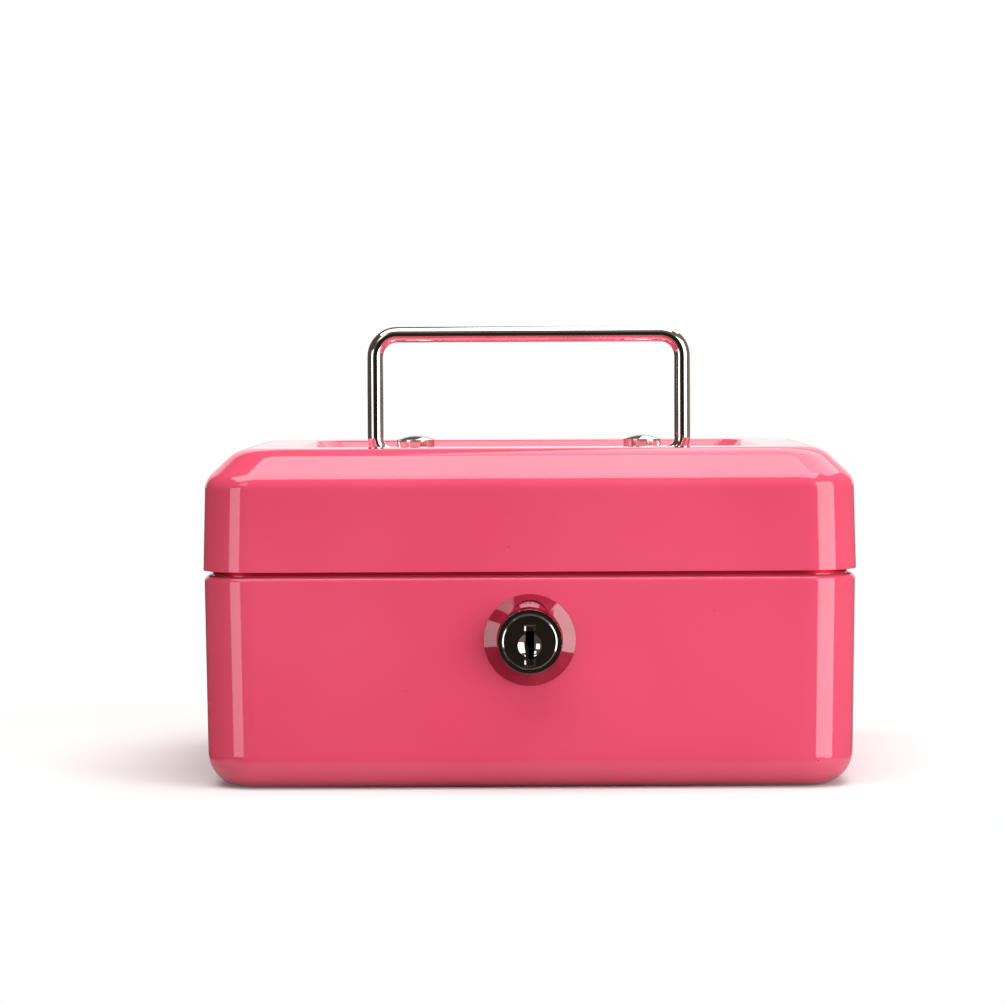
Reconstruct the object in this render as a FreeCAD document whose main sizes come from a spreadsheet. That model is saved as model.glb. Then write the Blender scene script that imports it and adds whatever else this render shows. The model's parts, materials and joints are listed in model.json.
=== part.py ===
import FreeCAD, Part
import math
import os
import re
import Sketcher
from FreeCAD import Placement, Rotation, Vector

# Small steel cash box with a hinged lid, a sunk carrying handle and a cylinder lock.
# Millimetres. The front faces -Y, +X is to the right, +Z is up.
# The origin is the middle of the underside, with the lid shut and the handle upright.

doc = FreeCAD.newDocument("cash_box")

SIZES = {
    # pressed steel shells
    "sheet_metal": 0.8,
    "corner_radius": 12.0,
    "base_width": 152.0,
    "base_depth": 118.0,
    "shoulder_height": 49.5,
    "shoulder_bend": 0.5,
    "base_draft": 0.75,
    "base_edge_radius": 8.0,
    "lip_step": 2.0,
    "lip_height": 5.5,
    "seam_gap": 1.3,
    "lid_overhang": 0.2,
    "lid_height": 28.1,
    "lid_draft": 1.4,
    "bevel": 7.2,
    "bevel_round": 5.0,
    "bevel_top_round": 7.5,
    # well that the handle folds into
    "well_width": 109.0,
    "well_depth": 73.0,
    "well_drop": 5.0,
    "well_corner": 6.0,
    "well_bend": 0.7,
    # small gap where one piece lies against another, and how far a cut runs past a face
    "fit_gap": 0.05,
    "overcut": 1.0,
    # rear hinge
    "hinge_length": 100.0,
    "hinge_inset": 1.2,
    "hinge_clearance": 0.35,
    "knuckle_count": 9,
    "knuckle_radius": 1.9,
    "knuckle_gap": 0.3,
    "leaf_thickness": 0.8,
    "leaf_height": 12.0,
    "pin_radius": 1.0,
    "pin_clearance": 0.05,
    "pin_head_radius": 1.5,
    "pin_head_length": 0.8,
    # wire handle and its posts
    "handle_wire": 3.9,
    "handle_span": 75.7,
    "handle_reach": 29.55,
    "handle_bend": 5.4,
    "handle_foot_bend": 4.0,
    "handle_tail": 1.5,
    "handle_end_round": 0.5,
    "handle_floor_gap": 0.35,
    "handle_clearance": 0.08,
    "post_inset": 9.95,
    "post_diameter": 9.5,
    "post_height": 5.95,
    "post_dome": 1.15,
    "shank_radius": 2.4,
    "shank_clearance": 0.1,
    "rivet_radius": 3.4,
    "rivet_height": 1.0,
    "post_washer_radius": 5.0,
    "post_washer_thickness": 0.8,
    # conical ring around the lock, with an arched recess above the barrel
    "lock_height": 34.8,
    "ring_radius": 10.6,
    "ring_land_radius": 7.75,
    "ring_height": 1.5,
    "ring_edge": 0.2,
    "arch_radius": 4.6,
    "arch_rise": 4.7,
    "arch_depth": 0.2,
    "arch_slope": 33.5,
    # lock barrel
    "lock_projection": 6.2,
    "lock_rim_radius": 7.4,
    "rim_chamfer": 0.12,
    "barrel_radius": 6.9,
    "barrel_clearance": 0.15,
    "barrel_length": 23.0,
    "chamber_radius": 3.6,
    "chamber_rise": 5.0,
    "chamber_roof": 0.6,
    # lock clip
    "groove_radius": 6.2,
    "clip_width": 27.0,
    "clip_height": 26.0,
    "clip_thickness": 1.2,
    "clip_fit": 0.1,
    # lock plug
    "plug_face_radius": 6.3,
    "plug_face_depth": 1.2,
    "plug_radius": 5.0,
    "plug_clearance": 0.06,
    "plug_edge_width": 0.28,
    "plug_edge_depth": 0.1,
    "keyway_width": 2.0,
    "keyway_height": 6.5,
    "keyway_drop": 0.75,
    "keyway_depth": 20.0,
    "crown_width": 3.0,
    "crown_height": 1.4,
    "foot_width": 2.5,
    "foot_height": 1.7,
    "end_cut_depth": 0.7,
    "dimple_radius": 2.75,
    "dimple_depth": 0.9,
    # pin stacks
    "stack_count": 4,
    "stack_pitch": 3.0,
    "stack_setback": 1.8,
    "stack_radius": 1.0,
    "stack_clearance": 0.05,
    "key_pin_reach": 0.8,
    "driver_length": 1.4,
    "spring_radius": 0.65,
    "spring_wire": 0.3,
    "spring_turns": 2,
    # cam, its screw and the catch on the lid
    "cam_gap": 0.3,
    "cam_thickness": 1.6,
    "cam_width": 8.0,
    "cam_length": 14.0,
    "cam_hub_radius": 6.0,
    "cam_square": 5.0,
    "cam_fit": 0.1,
    "cam_washer_radius": 4.2,
    "cam_washer_thickness": 0.6,
    "screw_radius": 1.5,
    "screw_length": 5.0,
    "screw_head_radius": 2.8,
    "screw_head_height": 2.0,
    "screw_slot": 0.8,
    "catch_clearance": 1.0,
    "catch_strip": 4.5,
    "catch_ledge": 3.0,
    "catch_plate": 11.0,
    "catch_lift": 2.0,
    "latch_gap": 0.6,
    "latch_tip_gap": 1.5,
    # coin tray
    "tray_wall": 1.5,
    "tray_depth": 22.0,
    "tray_clearance": 0.6,
    "tray_flange_inset": 0.4,
    "tray_row": 2.0,
    "tray_columns": 3,
    "notch_clearance": 2.0,
    "cup_scoop": 3.5,
    "grip_width": 24.0,
    "grip_thickness": 2.5,
    "grip_height": 6.0,
    "grip_round": 3.0,
}

# places worked out from the sizes
PLACES = {
    "base_slope": "tan(base_draft * 1 deg)",
    "lid_slope": "tan(lid_draft * 1 deg)",
    "lid_width": "base_width + 2 * lid_overhang",
    "lid_depth": "base_depth + 2 * lid_overhang",
    "lip_top": "shoulder_height + lip_height",
    "lid_bottom": "shoulder_height + seam_gap",
    "lid_top": "lid_bottom + lid_height",
    "well_floor": "lid_top - well_drop",
    "well_under": "well_floor - sheet_metal",
    "hinge_y": "lid_depth / 2 - hinge_inset",
    "hinge_room": "knuckle_radius + hinge_clearance",
    "hinge_half": "hinge_length / 2 + pin_head_length + hinge_clearance",
    "knuckle_pitch": "hinge_length / knuckle_count",
    "base_leaf_drop": "leaf_height - seam_gap",
    "base_leaf_y": "base_depth / 2 - sheet_metal - base_leaf_drop * base_slope - fit_gap",
    "lid_leaf_y": "lid_depth / 2 - sheet_metal - leaf_height * lid_slope - fit_gap",
    "pivot_z": "well_floor + handle_wire / 2 + handle_floor_gap",
    "post_spacing": "handle_span - 2 * post_inset",
    "post_radius": "post_diameter / 2",
    "dome_radius": "(post_radius ^ 2 + post_dome ^ 2) / (2 * post_dome)",
    "cone_height": "ring_height - ring_edge",
    "arch_fall": "(ring_radius - ring_land_radius) * tan(arch_slope * 1 deg)",
    "wall_y": "(shoulder_height - lock_height) * base_slope - base_depth / 2",
    "face_y": "wall_y - lock_projection",
    "land_y": "wall_y - ring_height",
    "barrel_end": "face_y + barrel_length",
    "clip_low": "shoulder_height - lock_height + clip_height / 2",
    "clip_y": "clip_low * base_slope - base_depth / 2 + sheet_metal + fit_gap",
    "clip_end": "clip_y + clip_thickness",
    "plug_end": "barrel_end + cam_gap",
    "cam_end": "plug_end + cam_thickness",
    "washer_end": "cam_end + cam_washer_thickness",
    "keyway_top": "keyway_height / 2 - keyway_drop",
    "stack_top": "chamber_rise + chamber_radius - chamber_roof",
    "key_pin_top": "sqrt(plug_radius ^ 2 - stack_radius ^ 2) - fit_gap",
    "key_pin_low": "keyway_top - key_pin_reach",
    "driver_low": "plug_radius + plug_clearance + fit_gap",
    "driver_top": "driver_low + driver_length",
    "spring_height": "stack_top - driver_top - spring_wire - 2 * fit_gap",
    "dimple_ball": "(dimple_radius ^ 2 + dimple_depth ^ 2) / (2 * dimple_depth)",
    "catch_near": "barrel_radius + catch_clearance",
    "catch_inner": "cam_length + latch_tip_gap",
    "catch_far": "catch_inner + catch_strip",
    "catch_low": "lip_top + catch_lift",
    "catch_rise": "catch_low + catch_plate - lid_bottom",
    "catch_front": "catch_rise * lid_slope + sheet_metal + fit_gap - lid_depth / 2",
    "ledge_top": "lock_height - cam_width / 2 - latch_gap",
    "tray_half_width": "base_width / 2 - lip_step - sheet_metal - tray_clearance",
    "tray_half_depth": "base_depth / 2 - lip_step - sheet_metal - tray_clearance",
    "tray_corner": "corner_radius - lip_step - sheet_metal - tray_clearance",
    "flange_half_width": "base_width / 2 - lip_step - tray_flange_inset",
    "flange_half_depth": "base_depth / 2 - lip_step - tray_flange_inset",
    "tray_top": "lip_top + tray_wall",
    "tray_bottom": "lip_top - tray_depth",
    "cup_floor": "tray_bottom + tray_wall",
    "notch_half": "catch_far + notch_clearance",
    "notch_back": "washer_end + screw_head_height + notch_clearance",
}

sheet = doc.addObject("Spreadsheet::Sheet", "Sizes")
for row, (alias, number) in enumerate(SIZES.items(), start=1):
    sheet.set(f"A{row}", alias)
    sheet.set(f"B{row}", str(number))
    sheet.setAlias(f"B{row}", alias)
doc.recompute()

NEAR = 1e-3
UPRIGHT = Rotation()
ALONG_X = Rotation(Vector(0, 1, 0), 90)
ALONG_Y = Rotation(Vector(1, 0, 0), -90)
TO_FRONT = Rotation(Vector(1, 0, 0), 90)


def formula(text):
    """Write a rule in size and place names as an expression on the sheet."""
    def swap(match):
        word = match.group(0)
        if word in SIZES:
            return "Sizes." + word
        if word in PLACES:
            return "(" + formula(PLACES[word]) + ")"
        return word
    return re.sub(r"[a-z]\w*", swap, str(text))


def value(text):
    return float(sheet.evalExpression(formula(text)))


def bind(thing, **rules):
    for name, rule in rules.items():
        thing.setExpression(name, formula(rule))


def place(thing, at, turn=UPRIGHT):
    thing.Placement = Placement(Vector(), turn)
    for axis, rule in zip("xyz", at):
        thing.setExpression("Placement.Base." + axis, formula(rule))


def new_body(label):
    body = doc.addObject("PartDesign::Body", label)
    body.Label = label
    return body


def add(body, kind, at=(0, 0, 0), turn=UPRIGHT, **rules):
    """Add a PartDesign primitive to a body; kind is such as AdditiveBox."""
    feature = body.newObject("PartDesign::" + kind, kind)
    place(feature, at, turn)
    bind(feature, **rules)
    return feature


def add_block(body, kind, x, y, z):
    """Add a box from its low and high rule along each axis."""
    (x_low, x_high), (y_low, y_high), (z_low, z_high) = x, y, z
    return add(
        body, kind, (x_low, y_low, z_low),
        Length=f"({x_high}) - ({x_low})",
        Width=f"({y_high}) - ({y_low})",
        Height=f"({z_high}) - ({z_low})",
    )


def add_rod(body, kind, radius, y_low, y_high, z):
    """Add a round bar along Y."""
    return add(
        body, kind, (0, y_low, z), ALONG_Y,
        Radius=radius, Height=f"({y_high}) - ({y_low})",
    )


def add_frustum(body, kind, low, high, z_low, z_high):
    """Add a tapered block from its half width and half depth at its lower and upper ends."""
    feature = body.newObject("PartDesign::" + kind, kind)
    place(feature, (0, 0, z_low), TO_FRONT)
    bind(
        feature,
        Xmin=f"-({low[0]})", Xmax=low[0], Zmin=f"-({low[1]})", Zmax=low[1],
        X2min=f"-({high[0]})", X2max=high[0], Z2min=f"-({high[1]})", Z2max=high[1],
        Ymin="0", Ymax=f"({z_high}) - ({z_low})",
    )
    return feature


def dress(body, kind, base, test, **rules):
    """Add a Fillet or Chamfer on the edges of base that pass the test."""
    doc.recompute()
    names = [f"Edge{i}" for i, edge in enumerate(base.Shape.Edges, start=1) if test(edge)]
    feature = body.newObject("PartDesign::" + kind, kind)
    feature.Base = (base, names)
    bind(feature, **rules)
    return feature


def hollow(body, base, open_z):
    """Turn a solid into sheet metal, open where its flat end lies at open_z."""
    doc.recompute()
    faces = enumerate(base.Shape.Faces, start=1)
    level = value(open_z)
    names = [f"Face{i}" for i, face in faces if flat_at(face, level)]
    feature = body.newObject("PartDesign::Thickness", "Hollow")
    feature.Base = (base, names)
    feature.Reversed = True
    bind(feature, Value="sheet_metal")
    return feature


def flat_at(shape, level):
    return abs(shape.BoundBox.ZMin - level) < NEAR and abs(shape.BoundBox.ZMax - level) < NEAR


def level_at(rule):
    level = value(rule)
    return lambda edge: all(abs(vertex.Z - level) < NEAR for vertex in edge.Vertexes)


def rises(edge):
    low, high = edge.Vertexes[0].Point, edge.Vertexes[-1].Point
    return (high - low).Length > 0 and abs(high.z - low.z) > 0.9 * (high - low).Length


def corner_at(x_rule, y_rule):
    """Test for an upright edge at this distance from the middle along X and Y."""
    x, y = value(x_rule), value(y_rule)

    def test(edge):
        point = edge.Vertexes[0].Point
        return rises(edge) and abs(abs(point.x) - x) < NEAR and abs(abs(point.y) - y) < NEAR
    return test


def ring_at(y_rule, radius_rule):
    """Test for a round edge about the lock's axis, at this place and radius."""
    y, radius = value(y_rule), value(radius_rule)

    def test(edge):
        if not isinstance(edge.Curve, Part.Circle):
            return False
        return abs(edge.Curve.Center.y - y) < NEAR and abs(edge.Curve.Radius - radius) < NEAR
    return test


def group(label, solids):
    compound = doc.addObject("Part::Compound", label)
    compound.Label = label
    compound.Links = solids
    return compound


def plain_cylinder(name, radius, height, at, turn=UPRIGHT):
    cylinder = doc.addObject("Part::Cylinder", name)
    bind(cylinder, Radius=radius, Height=height)
    place(cylinder, at, turn)
    return cylinder


def stack_y(index):
    return f"clip_end + stack_setback + {index} * stack_pitch"


STACKS = range(int(SIZES["stack_count"]))


def make_base_shell():
    body = new_body("base_shell")
    lip = add_block(
        body, "AdditiveBox",
        ("lip_step - base_width / 2", "base_width / 2 - lip_step"),
        ("lip_step - base_depth / 2", "base_depth / 2 - lip_step"),
        ("shoulder_height - sheet_metal", "lip_top"),
    )
    dress(body, "Fillet", lip, rises, Radius="corner_radius - lip_step")
    narrow = "shoulder_height * base_slope"
    tub = add_frustum(
        body, "AdditiveWedge",
        (f"base_width / 2 - {narrow}", f"base_depth / 2 - {narrow}"),
        ("base_width / 2", "base_depth / 2"), "0", "shoulder_height",
    )
    corners = dress(
        body, "Fillet", tub,
        lambda edge: rises(edge) and edge.BoundBox.ZMin < NEAR, Radius="corner_radius",
    )
    bottom = dress(body, "Fillet", corners, level_at("0"), Radius="base_edge_radius")
    at_shoulder = level_at("shoulder_height")
    core = value("base_width / 2 - corner_radius"), value("base_depth / 2 - corner_radius")
    past_lip = value("corner_radius - lip_step / 2")

    def outer_edge(edge):
        middle = edge.valueAt((edge.FirstParameter + edge.LastParameter) / 2)
        past_core = Vector(max(abs(middle.x) - core[0], 0), max(abs(middle.y) - core[1], 0), 0)
        return at_shoulder(edge) and past_core.Length > past_lip
    shoulder = dress(body, "Fillet", bottom, outer_edge, Radius="sheet_metal + shoulder_bend")
    hollow(body, shoulder, "lip_top")
    add_rod(
        body, "SubtractiveCylinder", "barrel_radius + barrel_clearance",
        "wall_y - sheet_metal", "wall_y + 2 * sheet_metal", "lock_height",
    )
    add_block(
        body, "SubtractiveBox",
        ("-hinge_half", "hinge_half"),
        ("base_depth / 2 - lip_step - 3 * sheet_metal", "base_depth / 2 + sheet_metal"),
        ("lid_bottom - hinge_room", "lip_top + sheet_metal"),
    )
    return body


def make_lid_shell():
    body = new_body("lid_shell")
    narrow = "lid_height * lid_slope"
    block = add_frustum(
        body, "AdditiveWedge",
        ("lid_width / 2", "lid_depth / 2"),
        (f"lid_width / 2 - {narrow}", f"lid_depth / 2 - {narrow}"), "lid_bottom", "lid_top",
    )
    corners = dress(body, "Fillet", block, rises, Radius="corner_radius")
    bevel = dress(body, "Chamfer", corners, level_at("lid_top"), Size="bevel")
    below_bevel = value("lid_top - bevel - overcut")
    below_top = value("lid_top - bevel / 2")

    def flat_edge(low, high):
        return lambda edge: low < edge.BoundBox.ZMin < high and edge.BoundBox.ZLength < NEAR
    lower_round = dress(body, "Fillet", bevel, flat_edge(below_bevel, below_top), Radius="bevel_round")
    dress(
        body, "Fillet", lower_round, flat_edge(below_top, value("lid_top + overcut")),
        Radius="bevel_top_round",
    )
    well = add_frustum(
        body, "SubtractiveWedge",
        ("well_width / 2 - well_drop", "well_depth / 2 - well_drop"),
        ("well_width / 2", "well_depth / 2"), "well_floor", "lid_top",
    )
    reach = value("well_width / 2") + 10 * NEAR, value("well_depth / 2") + 10 * NEAR
    above = value("well_floor") - 10 * NEAR

    def in_well(edge):
        box = edge.BoundBox
        inside_x = max(abs(box.XMin), abs(box.XMax)) < reach[0]
        inside_y = max(abs(box.YMin), abs(box.YMax)) < reach[1]
        return inside_x and inside_y and box.ZMin > above
    well_corners = dress(
        body, "Fillet", well,
        lambda edge: in_well(edge) and edge.BoundBox.ZLength > 10 * NEAR, Radius="well_corner",
    )
    at_floor, at_top = level_at("well_floor"), level_at("lid_top")
    well_floor = dress(
        body, "Fillet", well_corners,
        lambda edge: in_well(edge) and at_floor(edge), Radius="sheet_metal + well_bend",
    )
    well_rim = dress(
        body, "Fillet", well_floor,
        lambda edge: in_well(edge) and at_top(edge), Radius="sheet_metal + well_bend",
    )
    hollow(body, well_rim, "lid_bottom")
    for side in (-1, 1):
        add(
            body, "SubtractiveCylinder", (f"{side} * post_spacing / 2", 0, "well_under - sheet_metal"),
            Radius="shank_radius + shank_clearance", Height="3 * sheet_metal",
        )
    add(
        body, "SubtractiveCylinder", ("-hinge_half", "hinge_y", "lid_bottom"), ALONG_X,
        Radius="hinge_room", Height="2 * hinge_half",
    )
    return body


def make_hinge_leaf(label, leaf_y, first, above_pin):
    """One leaf, above or below the pin, with every other knuckle."""
    body = new_body(label)
    depth = (f"{leaf_y} - leaf_thickness", leaf_y)
    if above_pin:
        far = "lid_bottom + leaf_height"
        plate = ("lid_bottom + hinge_room", far)
        web = ("lid_bottom", far)
    else:
        far = "lid_bottom - leaf_height"
        plate = (far, "lid_bottom - hinge_room")
        web = (far, "lid_bottom")
    add_block(body, "AdditiveBox", ("-hinge_length / 2", "hinge_length / 2"), depth, plate)
    for index in range(first, int(SIZES["knuckle_count"]), 2):
        start = f"{index} * knuckle_pitch - hinge_length / 2 + knuckle_gap / 2"
        end = f"{index + 1} * knuckle_pitch - hinge_length / 2 - knuckle_gap / 2"
        add_block(body, "AdditiveBox", (start, end), depth, web)
        add(
            body, "AdditiveCylinder", (start, "hinge_y", "lid_bottom"), ALONG_X,
            Radius="knuckle_radius", Height="knuckle_pitch - knuckle_gap",
        )
    add(
        body, "SubtractiveCylinder", ("-hinge_half", "hinge_y", "lid_bottom"), ALONG_X,
        Radius="pin_radius + pin_clearance", Height="2 * hinge_half",
    )
    return body


def make_hinge_pin():
    body = new_body("hinge_pin")
    add(
        body, "AdditiveCylinder", ("-hinge_length / 2", "hinge_y", "lid_bottom"), ALONG_X,
        Radius="pin_radius", Height="hinge_length",
    )
    for start in ("-hinge_length / 2 - pin_head_length", "hinge_length / 2"):
        add(
            body, "AdditiveCylinder", (start, "hinge_y", "lid_bottom"), ALONG_X,
            Radius="pin_head_radius", Height="pin_head_length",
        )
    return body


def make_handle():
    """Bend one wire: two tails through the posts, two legs and the bar."""
    body = new_body("handle_bail")
    roles = {origin.Role: origin for origin in body.Origin.OriginFeatures}
    half, reach = value("handle_span / 2"), value("handle_reach")
    bend, foot = value("handle_bend"), value("handle_foot_bend")
    tail = value("post_spacing / 2 - post_radius - handle_tail")

    route = body.newObject("Sketcher::SketchObject", "HandleRoute")
    route.AttachmentSupport = (roles["XZ_Plane"], [""])
    route.MapMode = "FlatFace"
    bind(route, **{"AttachmentOffset.Base.y": "pivot_z"})
    up = Vector(0, 0, 1)

    def line(start, end):
        return route.addGeometry(Part.LineSegment(Vector(*start, 0), Vector(*end, 0)), False)

    def arc(middle, radius, first, last):
        circle = Part.Circle(Vector(*middle, 0), up, radius)
        return route.addGeometry(Part.ArcOfCircle(circle, first, last), False)

    quarter = math.pi / 2
    left_tail = line((-tail, 0), (foot - half, 0))
    left_foot = arc((foot - half, foot), foot, 2 * quarter, 3 * quarter)
    left_leg = line((-half, foot), (-half, reach - bend))
    left_bend = arc((bend - half, reach - bend), bend, quarter, 2 * quarter)
    bar = line((bend - half, reach), (half - bend, reach))
    right_bend = arc((half - bend, reach - bend), bend, 0, quarter)
    right_leg = line((half, reach - bend), (half, foot))
    right_foot = arc((half - foot, foot), foot, 3 * quarter, 4 * quarter)
    right_tail = line((half - foot, 0), (tail, 0))

    start, end = 1, 2
    joins = (
        (left_tail, end, left_foot, end), (left_foot, start, left_leg, start),
        (left_leg, end, left_bend, end), (left_bend, start, bar, start),
        (bar, end, right_bend, end), (right_bend, start, right_leg, start),
        (right_leg, end, right_foot, end), (right_foot, start, right_tail, start),
    )
    for join in joins:
        route.addConstraint(Sketcher.Constraint("Tangent", *join))
    for level in (left_tail, bar, right_tail):
        route.addConstraint(Sketcher.Constraint("Horizontal", level))
    for upright in (left_leg, right_leg):
        route.addConstraint(Sketcher.Constraint("Vertical", upright))
    level_axis, upright_axis = -1, -2
    route.addConstraint(Sketcher.Constraint("PointOnObject", left_tail, start, level_axis))
    route.addConstraint(Sketcher.Constraint("Symmetric", left_tail, start, right_tail, end, upright_axis))
    route.addConstraint(Sketcher.Constraint("Equal", left_foot, right_foot))
    route.addConstraint(Sketcher.Constraint("Equal", left_bend, right_bend))
    middle = (-1, 1)
    sized = (
        ("foot", Sketcher.Constraint("Radius", left_foot, foot), "handle_foot_bend"),
        ("bend", Sketcher.Constraint("Radius", left_bend, bend), "handle_bend"),
        ("reach", Sketcher.Constraint("DistanceY", left_tail, start, bar, start, reach), "handle_reach"),
        ("left", Sketcher.Constraint("DistanceX", left_leg, start, *middle, half), "handle_span / 2"),
        ("right", Sketcher.Constraint("DistanceX", *middle, right_leg, end, half), "handle_span / 2"),
        ("tails", Sketcher.Constraint("DistanceX", left_tail, start, right_tail, end, 2 * tail),
         "post_spacing - 2 * post_radius - 2 * handle_tail"),
    )
    for name, constraint, rule in sized:
        route.renameConstraint(route.addConstraint(constraint), name)
        route.setExpression("Constraints." + name, formula(rule))

    section = body.newObject("Sketcher::SketchObject", "HandleSection")
    section.AttachmentSupport = (roles["YZ_Plane"], [""])
    section.MapMode = "FlatFace"
    bind(section, **{
        "AttachmentOffset.Base.y": "pivot_z",
        "AttachmentOffset.Base.z": "handle_tail + post_radius - post_spacing / 2",
    })
    section.addGeometry(Part.Circle(Vector(), up, value("handle_wire / 2")), False)
    section.addConstraint(Sketcher.Constraint("Coincident", 0, 3, -1, 1))
    section.renameConstraint(
        section.addConstraint(Sketcher.Constraint("Radius", 0, value("handle_wire / 2"))), "wire",
    )
    section.setExpression("Constraints.wire", formula("handle_wire / 2"))
    doc.recompute()

    wire = body.newObject("PartDesign::AdditivePipe", "HandleWire")
    wire.Profile = section
    wire.Spine = (route, [f"Edge{i}" for i in range(1, route.GeometryCount + 1)])
    dress(
        body, "Fillet", wire,
        lambda edge: edge.BoundBox.XLength < NEAR and abs(abs(edge.BoundBox.XMin) - tail) < NEAR,
        Radius="handle_end_round",
    )
    return body


def make_post(label, side):
    """A domed post riveted through the floor of the well, drilled across for the handle."""
    body = new_body(label)
    x = f"{side} * post_spacing / 2"
    rivet_top = "well_under - post_washer_thickness"
    add(body, "AdditiveCylinder", (x, 0, "well_floor"), Radius="post_radius", Height="post_height")
    add(
        body, "AdditiveSphere", (x, 0, "well_floor + post_height + post_dome - dome_radius"),
        Radius="dome_radius", Angle1="asin(1 - post_dome / dome_radius)", Angle2="90",
    )
    add(
        body, "AdditiveCylinder", (x, 0, rivet_top),
        Radius="shank_radius", Height=f"well_floor - ({rivet_top})",
    )
    add(
        body, "AdditiveCylinder", (x, 0, f"{rivet_top} - rivet_height"),
        Radius="rivet_radius", Height="rivet_height",
    )
    add(
        body, "SubtractiveCylinder", (f"{x} - post_diameter", 0, "pivot_z"), ALONG_X,
        Radius="handle_wire / 2 + handle_clearance", Height="2 * post_diameter",
    )
    return body


def make_post_washers():
    washers = []
    for side in (-1, 1):
        at = (f"{side} * post_spacing / 2", 0, "well_under - post_washer_thickness")
        disc = plain_cylinder("WasherDisc", "post_washer_radius", "post_washer_thickness", at)
        hole = plain_cylinder("WasherHole", "shank_radius + shank_clearance", "post_washer_thickness", at)
        washer = doc.addObject("Part::Cut", "PostWasher")
        washer.Base = disc
        washer.Tool = hole
        washers.append(washer)
    return group("post_washers", washers)


def make_lock_ring():
    """A conical ring against the front wall; its back follows the slope of the wall."""
    body = new_body("lock_ring")
    inside = "wall_y + sheet_metal"

    def add_cone(front_y, height):
        add(
            body, "AdditiveCone", (0, f"{front_y} + {height}", "lock_height"), TO_FRONT,
            Radius1="ring_radius", Radius2="ring_land_radius", Height=height,
        )
    add_rod(body, "AdditiveCylinder", "ring_radius", "wall_y - ring_edge", inside, "lock_height")
    add_cone("land_y", "cone_height")
    add_rod(
        body, "SubtractiveCylinder", "arch_radius",
        "land_y - overcut", inside, "lock_height + arch_rise",
    )
    add_cone("land_y + arch_depth", "arch_fall")
    narrow = "shoulder_height * base_slope - fit_gap"
    add_frustum(
        body, "SubtractiveWedge",
        (f"base_width / 2 - ({narrow})", f"base_depth / 2 - ({narrow})"),
        ("base_width / 2 + fit_gap", "base_depth / 2 + fit_gap"), "0", "shoulder_height",
    )
    bore = "barrel_radius + barrel_clearance"
    add_rod(body, "SubtractiveCylinder", bore, "land_y - overcut", inside, "lock_height")
    return body


def make_lock_barrel():
    body = new_body("lock_barrel")
    add_rod(body, "AdditiveCylinder", "lock_rim_radius", "face_y", "land_y", "lock_height")
    groove_low = "clip_y - fit_gap"
    groove_high = "clip_end + fit_gap"
    add_rod(body, "AdditiveCylinder", "barrel_radius", "land_y", groove_low, "lock_height")
    add_rod(body, "AdditiveCylinder", "groove_radius", groove_low, groove_high, "lock_height")
    add_rod(body, "AdditiveCylinder", "barrel_radius", groove_high, "barrel_end", "lock_height")
    add_rod(
        body, "AdditiveCylinder", "chamber_radius", groove_high, "barrel_end",
        "lock_height + chamber_rise",
    )
    add_rod(
        body, "SubtractiveCylinder", "plug_radius + plug_clearance",
        "face_y - overcut", "barrel_end + overcut", "lock_height",
    )
    seat = add_rod(
        body, "SubtractiveCylinder", "plug_face_radius + plug_clearance",
        "face_y - overcut", "face_y + plug_face_depth + fit_gap", "lock_height",
    )
    for index in STACKS:
        seat = add(
            body, "SubtractiveCylinder", (0, stack_y(index), "lock_height"),
            Radius="stack_radius + stack_clearance", Height="stack_top",
        )
    dress(
        body, "Chamfer", seat,
        ring_at("face_y", "lock_rim_radius"), Size="rim_chamfer",
    )
    return body


def make_lock_clip():
    body = new_body("lock_clip")
    add_block(
        body, "AdditiveBox",
        ("-clip_width / 2", "clip_width / 2"), ("clip_y", "clip_end"),
        ("lock_height - clip_height / 2", "lock_height + clip_height / 2"),
    )
    add_rod(
        body, "SubtractiveCylinder", "groove_radius + clip_fit",
        "clip_y - overcut", "clip_end + overcut", "lock_height",
    )
    add_block(
        body, "SubtractiveBox",
        ("-groove_radius - clip_fit", "groove_radius + clip_fit"),
        ("clip_y - overcut", "clip_end + overcut"),
        ("lock_height - clip_height", "lock_height"),
    )
    return body


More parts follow.
